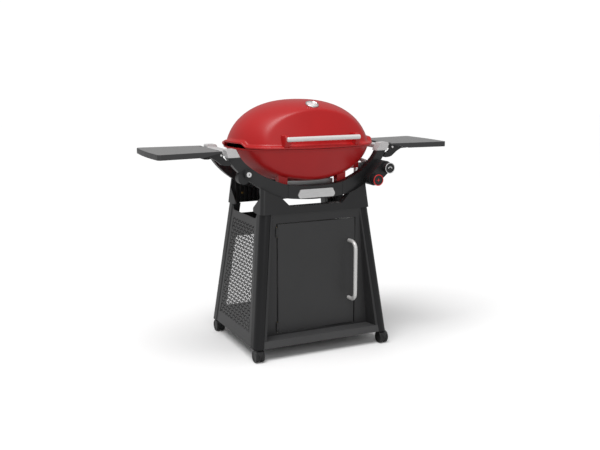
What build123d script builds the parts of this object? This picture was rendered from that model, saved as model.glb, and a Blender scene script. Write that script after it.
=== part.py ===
"""Two-burner gas barbecue grill on a four-caster cabinet cart.

Millimetres. +X is the cook's right, -Y is the front, +Z is up. The origin is on
the floor under the middle of the grill. Every separate piece is one STEP file.
"""
import math
import os

from build123d import *

os.makedirs("parts", exist_ok=True)

# ---- driving dimensions --------------------------------------------------
FRAME_Y = -34.25        # moves every piece so that the origin is under the middle of the whole box
FASCIA_Z = 594.0        # underside of the top castings, top of the legs
LEG_FOOT_Z = 52.0       # underside of the legs
LEG_X = 40.0            # leg section, across and front to back
LEG_Y = 58.0
LEG_WALL = 2.5
LEG_FRONT = ((228.5, -163.0), (291.0, -230.0))   # leg centre at the top, then at the foot
LEG_REAR = ((228.5, 163.0), (291.0, 230.0))

WHEEL_R = 25.5
WHEEL_W = 14.5
CASTER_TRAIL = -14.0

DOOR_HALF = 178.5
DOOR_Z = (92.5, 551.5)
DOOR_Y = (-192.0, -176.0)
DOOR_AXIS = (-183.5, -192.5)
FRAME_OPENING = (184.0, 89.0, 555.0)

ARCH_TOP_Z = 826.0
ARCH_DEPTH = 34.0
ARCH_FRONT_Y = -187.0
ARCH_SWEEP = 60.0       # how far the arch ends fall back from its middle
ARCH_OUTER = [(0, 645), (85, 649), (150, 658), (206, 680), (250, 706), (300, 744), (338, 783), (366, 826)]
ARCH_INNER = [(0, 700), (62, 702), (136, 712), (180, 728), (225, 748), (262, 772), (299, 803), (316, 826)]

RAIL_X = (330.0, 372.0)
RAIL_Z = (832.0, 850.0)
TABLE_TOP_Z = 854.0
TABLE_SKIRT = 22.0
TABLE_X = (390.0, 660.0)
TABLE_AXIS = (395.5, 838.0)
PIN_R = 4.0
RUN_GAP = 0.05          # radial clearance of every shaft in its bore

LID_A = 313.0           # lid and cookbox plan and height, as rounded domes
LID_B = 303.0
LID_H = 247.0
LID_CENTRE_Z = 800.0
LID_RIM_Z = 860.0
LID_PANEL = (23.0, 248.0, 0.0008)     # front panel tilt, offset and bow
BOWL_A = 314.0
BOWL_B = 300.0
BOWL_H = 205.0
BOWL_CENTRE_Z = 905.0
BOWL_RIM_Z = 858.0
BOWL_FLOOR_Z = 716.0
BOWL_PANEL = (25.0, 239.0, 0.0009)
WALL = 4.0
LID_AXIS = (328.0, 852.0)

HANDLE_Y = -256.0
HANDLE_Z = 901.0
HANDLE_R = 9.5

KNOB_SMALL = (321.0, 761.0)
KNOB_MAIN = (265.0, 713.0)
KNOB_R = 23.0
BUTTON = (-295.0, 760.0)
BUTTON_R = 10.0


# ---- helpers -------------------------------------------------------------
def box(x0, x1, y0, y1, z0, z1):
    """A block between two corners."""
    x0, x1 = sorted((x0, x1))
    y0, y1 = sorted((y0, y1))
    centre = ((x0 + x1) / 2, (y0 + y1) / 2, (z0 + z1) / 2)
    return Pos(*centre) * Box(x1 - x0, y1 - y0, z1 - z0)


def rod_x(x0, x1, y, z, r):
    """A round bar along X."""
    return Pos((x0 + x1) / 2, y, z) * Rot(0, 90, 0) * Cylinder(r, abs(x1 - x0))


def rod_y(x, y0, y1, z, r):
    """A round bar along Y."""
    return Pos(x, (y0 + y1) / 2, z) * Rot(90, 0, 0) * Cylinder(r, abs(y1 - y0))


def rod_z(x, y, z0, z1, r):
    """A round bar along Z."""
    return Pos(x, y, (z0 + z1) / 2) * Cylinder(r, z1 - z0)


def plate_xz(outline, y0, y1):
    """An outline drawn in X and Z, given thickness from y0 to y1."""
    face = make_face(Polyline(*[(x, y1, z) for x, z in outline], close=True))
    return extrude(face, amount=y1 - y0, dir=(0, -1, 0))


def plate_yz(outline, x0, x1):
    """Prism with an outline drawn from the side (y, z)."""
    face = make_face(Polyline(*[(x0, y, z) for y, z in outline], close=True))
    return extrude(face, amount=x1 - x0, dir=(1, 0, 0))


def plate_xy(outline, z0, z1):
    """An outline drawn in X and Y, given thickness from z0 to z1."""
    face = make_face(Polyline(*[(x, y, z0) for x, y in outline], close=True))
    return extrude(face, amount=z1 - z0, dir=(0, 0, 1))


def tapered(bottom, z0, top, z1):
    """A solid between two outlines of the same number of corners."""
    low = make_face(Polyline(*[(x, y, z0) for x, y in bottom], close=True))
    high = make_face(Polyline(*[(x, y, z1) for x, y in top], close=True))
    return loft([low, high], ruled=True)


def tube_along(points, radius, bend):
    """A round bar bent along a path with equal bends."""
    path = FilletPolyline(*points, radius=bend)
    section = Plane(origin=path @ 0, z_dir=path % 0) * Circle(radius)
    return sweep(section, path=path)


def mirrored_x(solid):
    """The same piece on the other side of the grill."""
    return mirror(solid, about=Plane.YZ)


def save(name, *solids):
    """Write one piece, or one group of equal pieces, in the shared frame."""
    placed = [Pos(0, FRAME_Y, 0) * solid for solid in solids]
    made = placed[0] if len(placed) == 1 else Compound(children=placed)
    export_step(made, "parts/" + name + ".step")


def blend(height, low_z, low, high_z, high):
    """Straight-line value at a height."""
    return low + (high - low) * (height - low_z) / (high_z - low_z)


def leg_centre(leg, z):
    """Centre of a splayed leg at a height."""
    (top_x, top_y), (foot_x, foot_y) = leg
    x = blend(z, LEG_FOOT_Z, foot_x, FASCIA_Z, top_x)
    y = blend(z, LEG_FOOT_Z, foot_y, FASCIA_Z, top_y)
    return x, y


def rounded(x, y, width, depth, corner, z):
    """A rounded rectangle lying at a height."""
    return Pos(x, y, z) * RectangleRounded(width, depth, corner)


# ---- cart: legs, panels and castings --------------------------------------
def leg_section(leg, side, z, inset):
    """Leg outline: a large round on the outer corner that shows, small ones on the rest."""
    x, y = leg_centre(leg, z)
    half_x = LEG_X / 2 - inset
    half_y = LEG_Y / 2 - inset
    ends = 1 if y > 0 else -1
    face = Rectangle(2 * half_x, 2 * half_y)
    for sx, sy, corner in ((side, ends, 27.0), (-side, ends, 7.0), (-side, -ends, 7.0), (side, -ends, 6.0)):
        nearest = face.vertices().sort_by_distance((sx * half_x, sy * half_y, 0))[0]
        face = fillet(nearest, corner - inset)
    return Pos(side * x, y, z) * face


def make_leg(leg, side):
    """Hollow splayed leg with a plug at the foot that holds the caster stem."""
    outer = loft([leg_section(leg, side, LEG_FOOT_Z, 0), leg_section(leg, side, FASCIA_Z, 0)])
    inner = loft([leg_section(leg, side, LEG_FOOT_Z, LEG_WALL), leg_section(leg, side, FASCIA_Z, LEG_WALL)])
    x, y = leg_centre(leg, LEG_FOOT_Z)
    plug = outer & box(side * x - 40, side * x + 40, y - 40, y + 40, LEG_FOOT_Z, LEG_FOOT_Z + 30)
    bore = rod_z(side * x, y, 0, LEG_FOOT_Z + 60, 5.0 + RUN_GAP)
    return (outer - inner) + plug - bore


def make_side_panel(side):
    """Thin side wall between the front and rear legs, with a folded top edge."""
    def outline(z, x_in, thick):
        front_x, front_y = leg_centre(LEG_FRONT, z)
        rear_y = leg_centre(LEG_REAR, z)[1]
        outer = side * (front_x + LEG_X / 2 - x_in)
        inner = outer - side * thick
        y0 = front_y + LEG_Y / 2
        y1 = rear_y - LEG_Y / 2
        return [(outer, y0), (outer, y1), (inner, y1), (inner, y0)]

    sheet = tapered(outline(54, 3, 2), 54, outline(592, 3, 2), 592)
    dip = [(-118, 571), (-128, 575), (-134, 600), (134, 600), (128, 575), (118, 571)]
    cut = make_face(Polyline(*[(-400, y, z) for y, z in dip], close=True))
    sheet = sheet - extrude(cut, amount=800, dir=(1, 0, 0))
    fold = tapered(outline(569, 3, 12), 569, outline(571, 3, 12), 571)
    return sheet + (fold & box(-400, 400, -118, 118, 560, 580))


def cross_panel(z0, z1, y_offset, thick, leg, facing):
    """Wall between a pair of legs, following their slope."""
    def outline(z):
        x, y = leg_centre(leg, z)
        half = x - LEG_X / 2
        face = y + facing * (LEG_Y / 2 - y_offset)
        back = face - facing * thick
        return [(-half, face), (half, face), (half, back), (-half, back)]

    return tapered(outline(z0), z0, outline(z1), z1)


def make_base_shelf():
    """Floor of the cabinet: a shallow pressed tray between the bottom rails."""
    z0, z1 = 58.0, 70.0
    tray = box(-268, 268, -179, 196, z0, z1)
    hollow = box(-264, 264, -175, 192, z0 + 2, z1 + 5)
    ribs = [box(-240, 240, y - 3, y + 3, z0, z0 + 5) for y in (-120, -40, 40, 120)]
    return (tray - hollow) + ribs


def casting_body():
    """Rounded block that a top casting is cut from."""
    low = rounded(0, -142.5, 502, 103, 16, FASCIA_Z)
    high = rounded(0, -127.5, 482, 103, 16, 706)
    return loft([low, high])


def half_curve(points):
    """A curve through points on the right, mirrored to the left."""
    left = [(-x, z) for x, z in reversed(points) if x > 0]
    return left + list(points)


def arch_region(extra_z=40.0):
    """Everything inside the outer edge of the cradle arch."""
    curve = half_curve(ARCH_OUTER)
    edge = Spline(*[(x, 0, z) for x, z in curve])
    end_l = (curve[0][0], 0, curve[0][1])
    end_r = (curve[-1][0], 0, curve[-1][1])
    top_l = (curve[0][0], 0, curve[0][1] + extra_z)
    top_r = (curve[-1][0], 0, curve[-1][1] + extra_z)
    face = make_face([edge, Line(end_r, top_r), Line(top_r, top_l), Line(top_l, end_l)])
    return extrude(face, amount=400, dir=(0, 1, 0), both=True)


def bowl_region():
    """Everything inside the inner edge of the cradle arch."""
    curve = half_curve(ARCH_INNER)
    edge = Spline(*[(x, 0, z) for x, z in curve])
    end_l = (curve[0][0], 0, curve[0][1])
    end_r = (curve[-1][0], 0, curve[-1][1])
    face = make_face([edge, Line(end_r, end_l)])
    return extrude(face, amount=400, dir=(0, 1, 0), both=True)


def bowed_strip(front, depth):
    """Upright strip, bowed forward in plan, that gives the arch its depth."""
    def face_y(x):
        return front + ARCH_SWEEP * (x / 360.0) ** 2

    xs = [-400, -300, -200, -100, 0, 100, 200, 300, 400]
    near = Spline(*[(x, face_y(x), 600) for x in xs])
    far = Spline(*[(x, face_y(x) + depth, 600) for x in xs])
    side_l = Line(near @ 0, far @ 0)
    side_r = Line(near @ 1, far @ 1)
    return extrude(make_face([near, side_r, far, side_l]), amount=300, dir=(0, 0, 1))


def casting_edge():
    """Everything behind the curled rear edge of a top casting."""
    points = [(-148, 720), (-150, 690), (-166, 662), (-98, 610), (-94, 602), (-99, 597), (-150, 593),
              (-150, 580), (0, 580), (0, 720)]
    face = make_face(Polyline(*[(-300, y, z) for y, z in points], close=True))
    return extrude(face, amount=600, dir=(1, 0, 0))


def make_front_casting(arch):
    """Front top casting: arms up to the arch, a crossbar and curled side returns."""
    core = box(-245, 245, -153, -60, 560, 760)
    window = plate_xz([(-158, 720), (-155, 657), (-120, 621), (120, 621), (155, 657), (158, 720)], -260, 0)
    side = casting_edge() & (box(-300, -238, -300, 0, 560, 760) + box(238, 300, -300, 0, 560, 760))
    return casting_body() - core - side - window - arch


def make_rear_casting(arch):
    """Rear top casting: the same shape turned round, with stiffening ribs inside."""
    core = box(-243, 243, -156, -60, 560, 760)
    window = plate_xz([(-118, 720), (-110, 657), (-90, 630), (90, 630), (110, 657), (118, 720)], -260, 0)
    side = casting_edge() & (box(-300, -238, -300, 0, 560, 760) + box(238, 300, -300, 0, 560, 760))
    casting = casting_body() - core - side
    for x in (130, 150, 170, 190, 210, 230):
        for middle in (-x, x):
            casting = casting + box(middle - 1.5, middle + 1.5, -157, -138, 600, 700)
    return mirror(casting - window - arch, about=Plane.XZ)


def make_front_frame():
    """Recessed frame round the door: back plate, tapered stiles and hinge knuckles."""
    half, low, high = FRAME_OPENING
    plate = plate_xz([(-243, 82), (243, 82), (200, FASCIA_Z), (-200, FASCIA_Z)], -190, -180)
    opening = box(-half, half, -260, 0, low, high)

    def stile(z):
        x, y = leg_centre(LEG_FRONT, z)
        edge = x - LEG_X / 2
        inner = blend(z, 82, 243, FASCIA_Z, 199)
        lip = blend(z, 82, 256, FASCIA_Z, 201)
        front = y - LEG_Y / 2 + 4
        front = min(front, -190.5)
        return [(inner, -180), (edge, -180), (edge, front), (lip, front), (inner, -190)]

    right = tapered(stile(82), 82, stile(FASCIA_Z), FASCIA_Z)
    frame = (plate - opening) + right + mirrored_x(right)
    x, y = DOOR_AXIS
    for z in (118, 520):
        frame = frame - box(x - 6, x + 5, -200, -186.8, z - 10.4, z + 10.4)
        for offset in (-15.5, 15.5):
            knuckle = rod_z(x, y, z + offset - 5, z + offset + 5, 4.5)
            tab = box(x - 5, x, y, -186, z + offset - 5, z + offset + 5)
            frame = frame + knuckle + tab
        frame = frame - rod_z(x, y, z - 22, z + 22, 2.0)
    return frame


def make_bottom_rail():
    """Front bottom rail with a ledge that runs back under the door."""
    def outline(z, front):
        x = leg_centre(LEG_FRONT, z)[0] - LEG_X / 2
        return [(-x, front), (x, front), (x, -180), (-x, -180)]

    rail = tapered(outline(53, -256), 53, outline(82, -252), 82)
    return rail - box(-262, 262, -249, -183, 40, 78)


# ---- door ----------------------------------------------------------------
def make_door():
    """Pressed door pan with knuckles for the hinge pins."""
    z0, z1 = DOOR_Z
    y0, y1 = DOOR_Y
    pan = box(-DOOR_HALF, DOOR_HALF, y0, y1, z0, z1)
    pan = fillet(pan.faces().sort_by(Axis.Y)[0].edges(), 1.5)
    pan = pan - box(-DOOR_HALF + 3, DOOR_HALF - 3, y0 + 2, y1 + 5, z0 + 3, z1 - 3)
    stiff = box(-60, 60, y0 + 2, y0 + 8, z0 + 3, z1 - 3) - box(-55, 55, y0 + 2, y0 + 6, z0, z1)
    pan = pan + stiff
    x, y = DOOR_AXIS
    for z in (118, 520):
        pan = pan + rod_z(x, y, z - 10, z + 10, 4.5)
        pan = pan + box(x, x + 9, y - 1.5, y + 2.5, z - 10, z + 10)
        pan = pan - rod_z(x, y, z - 20, z + 20, 2.0 + RUN_GAP)
    return pan


# ---- casters -------------------------------------------------------------
def make_caster(leg, side):
    """Twin-wheel caster: swivelling hood with stem, and the wheel pair on its axle."""
    x, y = leg_centre(leg, LEG_FOOT_Z)
    x = side * x
    wheel_y = y + CASTER_TRAIL
    hood = rod_x(x - 4, x + 4, wheel_y, WHEEL_R, 23.0)
    dome = rod_z(x, wheel_y - 6, 26, 47.5, 20.0)
    neck = rod_z(x, y, 30, 50.5, 13.0)
    stem = rod_z(x, y, 45, 76, 5.0)
    hood = hood + dome + neck
    for sign in (-1, 1):
        x0 = x + sign * 4.6
        hood = hood - rod_x(x0, x0 + sign * 40, wheel_y, WHEEL_R, WHEEL_R + 0.8)
    hood = hood + stem - rod_x(x - 30, x + 30, wheel_y, WHEEL_R, 3.0 + RUN_GAP)
    wheels = rod_x(x - 18, x + 18, wheel_y, WHEEL_R, 3.0)
    for sign in (-1, 1):
        x0 = x + sign * 5.0
        wheel = rod_x(x0, x0 + sign * WHEEL_W, wheel_y, WHEEL_R, WHEEL_R)
        wheel = fillet(wheel.edges(), 3.0)
        wheel = wheel - rod_x(x0 + sign * 13, x0 + sign * 40, wheel_y, WHEEL_R, 16.5)
        wheels = wheels + wheel
    return hood, wheels


# ---- cradle --------------------------------------------------------------
def make_cradle(front):
    """One cradle arch, bowed forward in plan, with an assembly seam each side of its middle."""
    ring = arch_region() - bowl_region()
    ring = ring & box(-400, 400, -400, 400, 600, ARCH_TOP_Z)
    arch = ring & bowed_strip(ARCH_FRONT_Y, ARCH_DEPTH)
    if front:
        for x in (-126, 126):
            arch = arch - box(x - 0.6, x + 0.6, -200, -178, 600, 760)
        return arch
    return mirror(arch, about=Plane.XZ)


def make_end_rail(side):
    """End rail that joins the two arches, with end caps and lugs for the table pin."""
    rail = box(RAIL_X[0], RAIL_X[1], -132, 132, *RAIL_Z)
    rail = fillet(rail.edges().filter_by(Axis.Y), 5)
    for sign in (-1, 1):
        y0, y1 = sorted((sign * 136, sign * 94))
        cap = plate_xz([(316, ARCH_TOP_Z), (366, ARCH_TOP_Z), (377, 860), (334, 860)], y0, y1)
        cap = fillet(cap.edges().filter_by(Axis.Y).group_by(Axis.Z)[-1], 6)
        rail = rail + cap
        lug = box(366, TABLE_AXIS[0], sign * 98, sign * 108, TABLE_AXIS[1] - 6, TABLE_AXIS[1] + 6)
        lug = lug + rod_y(TABLE_AXIS[0], sign * 98, sign * 108, TABLE_AXIS[1], 8)
        rail = rail + lug
    rail = rail - rod_y(TABLE_AXIS[0], -160, 160, TABLE_AXIS[1], PIN_R)
    return rail if side > 0 else mirrored_x(rail)


def make_table(side):
    """Folding side table: moulded top with a skirt and ribs underneath."""
    x0, x1 = TABLE_X
    z1 = TABLE_TOP_Z
    z0 = z1 - TABLE_SKIRT

    def outline(inset):
        near = [(x0 + inset, -134 + inset), (x1 - 10 - inset, -160 + inset)]
        far = [(x1 - 10 - inset, 160 - inset), (x0 + inset, 134 - inset)]
        bow = [(x1 - inset, -150 + inset), (x1 + 6 - inset, -70), (x1 + 8 - inset, 0)]
        bow = bow + [(x, -y) for x, y in reversed(bow[:2])]
        return near + bow + far

    top = plate_xy(outline(0), z0, z1)
    top = fillet(top.edges().filter_by(Axis.Z), 6)
    top = fillet(top.faces().sort_by(Axis.Z)[-1].edges(), 2.5)
    pocket = plate_xy(outline(5), z0 - 5, z1 - 4)
    ribs = [box(x - 1.5, x + 1.5, -150, 150, z0 + 4, z1 - 3) for x in (450, 500, 550, 600)]
    ribs = ribs + [box(440, 640, y - 1.5, y + 1.5, z0 + 4, z1 - 3) for y in (-75, 0, 75)]
    frame = [rib & pocket for rib in ribs]
    table = (top - pocket) + frame
    rise = plate_xz([(380, 820), (474, 820), (474, 832), (405, 845.5), (380, 847.5)], -170, 170)
    table = table - rise
    for sign in (-1, 1):
        y0, y1 = sorted((sign * 95, sign * 111))
        table = table - box(380, 405, y0, y1, 800, 870)
    return table if side > 0 else mirrored_x(table)


def make_brackets(side):
    """Pair of quarter-round hooks under the inner end of a table; each toe bears on an arch."""
    ax, az = TABLE_AXIS
    outline = [(387, 845.0), (405, 845.0), (474, 832.0), (441, 831), (423, 822), (408, 811), (394, 799.5),
               (380, 795), (362, 794), (351.5, 796.5), (362, 814), (373, 816), (383, 823), (387, 830)]
    made = []
    for sign in (-1, 1):
        y0, y1 = sorted((sign * 115, sign * 131))
        hook = plate_xz(outline, y0, y1)
        hook = hook + rod_y(ax, y0, y1, az, 8.0)
        hook = hook - rod_y(ax, y0 - 5, y1 + 5, az, PIN_R + RUN_GAP)
        hook = hook - box(470, 480, -200, 200, 800, 860)
        made.append(hook if side > 0 else mirrored_x(hook))
    return made


# ---- lid and cookbox ------------------------------------------------------
def plan_ring(z, spec, grow=0.0, count=56):
    """Plan outline of the lid (spec up) or the cookbox (spec down) at one height."""
    a, b, h, centre, panel, way = spec
    a, b, h = a + grow, b + grow, h + grow
    tilt = math.radians(panel[0])
    offset = panel[1] + grow
    bow = panel[2]
    rise = way * (z - centre)
    shrink = (1.0 - (rise / h) ** 2.3) ** (1 / 2.3)
    points = []
    for i in range(count):
        t = 2 * math.pi * i / count
        c, s = math.cos(t), math.sin(t)
        round_r = shrink / ((abs(c) / a) ** 1.95 + (abs(s) / b) ** 1.95) ** (1 / 1.95)
        r = round_r
        if s < -0.02:
            qa = bow * c * c
            qb = math.cos(tilt) * -s
            qc = offset - math.sin(tilt) * rise
            flat_r = (-qb + math.sqrt(qb * qb + 4 * qa * qc)) / (2 * qa) if qa > 1e-9 else qc / qb
            r = (round_r ** -36 + flat_r ** -36) ** (-1 / 36)
        points.append((r * c, r * s))
    return points


def ring_face(points, z):
    """A smooth closed outline as a flat face."""
    return make_face(Spline(*[(x, y, z) for x, y in points], periodic=True))


def dome(spec, grow, z_from, z_levels):
    """Solid lofted through the outlines of the lid or the cookbox."""
    faces = [ring_face(plan_ring(z, spec, grow), z) for z in [z_from] + z_levels]
    return loft(faces)


LID = (LID_A, LID_B, LID_H, LID_CENTRE_Z, LID_PANEL, 1)
BOWL = (BOWL_A, BOWL_B, BOWL_H, BOWL_CENTRE_Z, BOWL_PANEL, -1)


def widened(points, extra):
    """A plan outline pushed outward all round."""
    return [(x * (1 + extra / math.hypot(x, y)), y * (1 + extra / math.hypot(x, y))) for x, y in points]


def make_lid():
    """Cast lid: dome with a flatter front panel, rim, end vents, handle posts and hinge lugs."""
    outer = dome(LID, 0, LID_RIM_Z, [890, 920, 950, 980, 1005, 1024, 1036, 1042.5, 1045.6])
    inner = dome(LID, -WALL, LID_RIM_Z - 4, [886, 916, 946, 976, 1001, 1020, 1032, 1038.2, 1041.2])
    rim_outline = plan_ring(LID_RIM_Z, LID)
    rim = extrude(ring_face(widened(rim_outline, 15), LID_RIM_Z), amount=7)
    step = extrude(ring_face(widened(rim_outline, 8), LID_RIM_Z + 7), amount=4)
    lid = outer + rim + step
    flange = ring_face(widened(rim_outline, 18), LID_RIM_Z)
    hump = plate_yz([(-124, 859), (-100, 885), (26, 885), (50, 859)], 250, 350)
    slot = plate_yz([(-112, 850), (-112, 859), (-94, 877), (20, 877), (38, 859), (38, 850)], 262, 350)
    ear = extrude(flange, amount=25) & hump
    ear = fillet(ear.faces().sort_by(Axis.Z)[-1].edges(), 2.0)
    lid = lid + ear + mirrored_x(ear)
    lid = lid - inner - slot - mirrored_x(slot)
    for side in (-1, 1):
        outline = [(-205, 866), (-236, 866), (-253, 888), (-253, 903), (-246, 914), (-205, 916)]
        post = plate_yz(outline, 148, 168)
        post = fillet(post.edges().filter_by(Axis.X).group_by(Axis.Z)[-1], 4)
        post = post - inner - rod_x(100, 180, HANDLE_Y, HANDLE_Z, HANDLE_R)
        lid = lid + (post if side > 0 else mirrored_x(post))
        web = box(side * 70, side * 90, 270, LID_AXIS[0], LID_RIM_Z, LID_RIM_Z + 11)
        knuckle = rod_x(side * 70, side * 90, *LID_AXIS, 10)
        lug = web + knuckle - rod_x(side * 60, side * 100, *LID_AXIS, PIN_R + RUN_GAP) - inner
        lid = lid + lug
    lid = lid - rod_along_normal(THERMO_POINT, THERMO_TILT, -30, 30, 11)
    return lid


THERMO_POINT = (0.0, -141.0, 1027.5)
THERMO_TILT = 24.0


def rod_along_normal(point, tilt, low, high, r):
    """A round bar square to the lid at the thermometer."""
    bar = Pos(0, 0, (low + high) / 2) * Cylinder(r, high - low)
    return Pos(*point) * Rot(tilt, 0, 0) * bar


def make_cookbox():
    """Cast cookbox: hollow bowl with rim, grate ledge, grease hole, feet and hinge lugs."""
    outer = dome(BOWL, 0, BOWL_FLOOR_Z, [730, 750, 775, 800, 830, BOWL_RIM_Z])
    inner = dome(BOWL, -WALL, BOWL_FLOOR_Z + 4, [732, 752, 777, 802, 832, BOWL_RIM_Z + 3])
    rim_outline = plan_ring(BOWL_RIM_Z, BOWL)
    rim = extrude(ring_face(widened(rim_outline, 9), BOWL_RIM_Z - 6), amount=6)
    bowl = outer + rim
    for x in (-135, 135):
        for side in (-1, 1):
            foot = box(x - 20, x + 20, side * 150, side * 118, 690, 790)
            bowl = bowl + foot
    for side in (-1, 1):
        web = box(side * 94, side * 114, 270, LID_AXIS[0], 846, BOWL_RIM_Z)
        knuckle = rod_x(side * 94, side * 114, *LID_AXIS, 10)
        bowl = bowl + web + knuckle
    bowl = bowl + box(205, 245, -100, -66, 752, 800)
    bowl = bowl - inner
    ledge_out = extrude(ring_face(plan_ring(838, BOWL, -WALL + 0.5), 832), amount=5)
    ledge_in = extrude(ring_face(plan_ring(838, BOWL, -WALL - 9), 830), amount=10)
    bowl = bowl + (ledge_out - ledge_in)
    for side in (-1, 1):
        bowl = bowl - rod_x(side * 60, side * 130, *LID_AXIS, PIN_R)
    bowl = bowl - box(-30, 30, -20, 20, 700, 730)
    bowl = bowl - rod_x(200, 280, -25, 780, 12) - rod_x(200, 280, 25, 780, 12)
    return bowl


def make_grate(side):
    """Half of the cooking grate: frame and bars, resting on the ledge in the cookbox."""
    shape = extrude(ring_face(plan_ring(837, BOWL, -WALL - 2), 837.5), amount=12)
    hole = extrude(ring_face(plan_ring(837, BOWL, -WALL - 12), 830), amount=30)
    half = box(1, 330, -320, 320, 830, 860)
    frame = (shape - hole) & half
    spine = box(1, 10, -320, 320, 837.5, 849.5) & shape
    bars = [box(x - 3, x + 3, -320, 320, 841.5, 849.5) & shape & half for x in range(22, 300, 14)]
    cross = [box(1, 330, y - 4, y + 4, 837.5, 843.5) & shape & half for y in (-110, 0, 110)]
    grate = frame + spine
    for bar in bars + cross:
        grate = grate + bar
    return grate if side > 0 else mirrored_x(grate)


def make_burners():
    """Outer ring burner and inner straight burner with their inlet tubes."""
    ring_path = FilletPolyline((190, -25, 780), (190, -120, 780), (-200, -120, 780), (-200, 130, 780),
                               (190, 130, 780), (190, 40, 780), radius=40)
    section = Plane(origin=ring_path @ 0, z_dir=ring_path % 0) * Circle(10)
    outer = sweep(section, path=ring_path) + rod_x(184, 266, -25, 780, 8.5)
    inner = rod_x(-120, 266, 25, 780, 9)
    return outer, inner


# ---- small pieces ----------------------------------------------------------
def make_pod():
    """Control housing hung on the right end of the front arch, with bores for the valve stems."""
    (sx, sz), (mx, mz) = KNOB_SMALL, KNOB_MAIN
    core = rod_y(sx, -204, -130, sz, 27) + rod_y(mx, -204, -130, mz, 27)
    outline = [(sx + 18, sz - 20), (sx - 20, sz + 18), (mx - 18, mz + 20), (mx + 20, mz - 18)]
    return core + plate_xz(outline, -204, -130)


def make_knob(centre, length):
    """Knob body with a grip bar on its face and a stem behind."""
    x, z = centre
    body = rod_y(x, -238, -205, z, KNOB_R - 3)
    body = chamfer(body.edges(), 1.5)
    stem = rod_y(x, -206, -205 + length, z, 5.0)
    return body + stem


def make_ring(centre, radius, tube):
    """Trim ring round the face of a knob."""
    x, z = centre
    ring = rod_y(x, -240, -226, z, radius) - rod_y(x, -260, -200, z, KNOB_R - 3)
    return fillet(ring.edges().filter_by(GeomType.CIRCLE).group_by(Axis.Y)[0], tube)


def make_tray_rails():
    """Two folded rails under the cookbox that the drip tray hangs in."""
    made = []
    for side in (-1, 1):
        web = box(-112, 112, side * 114.2, side * 116, 697, 716)
        lip = box(-112, 112, side * 104, side * 116, 697, 699)
        flange = box(-112, 112, side * 104, side * 116, 714, 716)
        made.append(web + lip + flange)
    return made


def make_drip_tray():
    """Shallow grease tray with a hanging rim and a finger lip at its left end."""
    tray = box(-108, 108, -101, 101, 662, 702)
    tray = fillet(tray.edges().filter_by(Axis.Z), 14)
    tray = tray + box(-108, 108, -112, 112, 700, 702)
    inside = box(-106, 106, -99, 99, 664, 720)
    inside = fillet(inside.edges().filter_by(Axis.Z), 12)
    lip = box(-124, -108, -40, 40, 700, 702)
    return tray - inside + lip


def make_gas_line():
    """Valves, manifold pipe and drop pipe that feed both burners."""
    (sx, sz), (mx, mz) = KNOB_SMALL, KNOB_MAIN
    line = tube_along([(sx, -114, sz), (sx, -78, sz), (285, -78, 780), (285, 34, 780)], 7, 14)
    for x, z in (KNOB_SMALL, KNOB_MAIN):
        line = line + rod_y(x, -115, -98, z, 11)
    line = line + tube_along([(mx, -110, mz), (mx, -90, mz), (285, -78, 752), (285, -60, 780)], 6, 5)
    for y in (-25, 25):
        line = line + rod_x(267, 285, y, 780, 8)
    line = line + tube_along([(285, 0, 780), (285, 0, 690), (182, -8, 690), (182, -8, 631.5)], 6, 16)
    return line


# ---- build everything --------------------------------------------------------
arch_inside = arch_region()
cradle_front = make_cradle(True)
cradle_rear = make_cradle(False)

for name, leg, side in (("front_left", LEG_FRONT, -1), ("front_right", LEG_FRONT, 1),
                        ("rear_left", LEG_REAR, -1), ("rear_right", LEG_REAR, 1)):
    save("leg_" + name, make_leg(leg, side))
    hood, wheels = make_caster(leg, side)
    save("caster_hood_" + name, hood)
    save("caster_wheels_" + name, wheels)

save("side_panel_left", make_side_panel(-1))
save("side_panel_right", make_side_panel(1))
save("base_shelf", make_base_shelf())
save("rear_top_panel", cross_panel(434, 540, 4, 3, LEG_REAR, 1))
save("rear_bottom_rail", cross_panel(54, 106, 4, 12, LEG_REAR, 1))
save("front_fascia", make_front_casting(arch_inside))
save("rear_fascia", make_rear_casting(arch_inside))
save("front_frame", make_front_frame())
save("front_bottom_rail", make_bottom_rail())

save("door_panel", make_door())
handle_path = [(153, -192, 457), (153, -250, 457), (153, -250, 206), (153, -192, 206)]
save("door_handle", tube_along(handle_path, 8.0, 32))
axis_x, axis_y = DOOR_AXIS
save("door_hinge_pins", *[rod_z(axis_x, axis_y, z - 21.5, z + 21.5, 2.0) for z in (118, 520)])

igniter_x, igniter_z = BUTTON
button_bore = rod_y(igniter_x, -300, -100, igniter_z, BUTTON_R + RUN_GAP)
pod = make_pod()
housing = rod_y(igniter_x, -174, -124, igniter_z, 17) + rod_y(igniter_x - 15, -158, -124, igniter_z - 17, 24)
cradle_front = cradle_front - rod_y(igniter_x, -300, -100, igniter_z, 13.5)
for x, z in (KNOB_SMALL, KNOB_MAIN):
    pod = pod - rod_y(x, -260, -160, z, 5.0 + RUN_GAP)
pod = pod - cradle_front
housing = housing - cradle_front - button_bore + rod_y(igniter_x, -128, -120, igniter_z, 13.5)
save("cradle_front", cradle_front)
save("cradle_rear", cradle_rear)
save("control_pod", pod)
save("igniter_housing", housing)
save("igniter_button", rod_y(igniter_x, -178, -140, igniter_z, BUTTON_R))
save("end_rail_left", make_end_rail(-1))
save("end_rail_right", make_end_rail(1))
save("table_pin_left", rod_y(-TABLE_AXIS[0], -136, 136, TABLE_AXIS[1], PIN_R))
save("table_pin_right", rod_y(TABLE_AXIS[0], -136, 136, TABLE_AXIS[1], PIN_R))
save("side_table_left", make_table(-1))
save("side_table_right", make_table(1))
save("table_brackets_left", *make_brackets(-1))
save("table_brackets_right", *make_brackets(1))
badge = plate_xz([(-74, 687.5), (74, 687.5), (85, 664), (78, 651.5), (-78, 651.5), (-85, 664)], -190.5, -184)
badge = fillet(badge.edges().filter_by(Axis.Y), 7)
save("badge_plate", badge - cradle_front)

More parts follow.
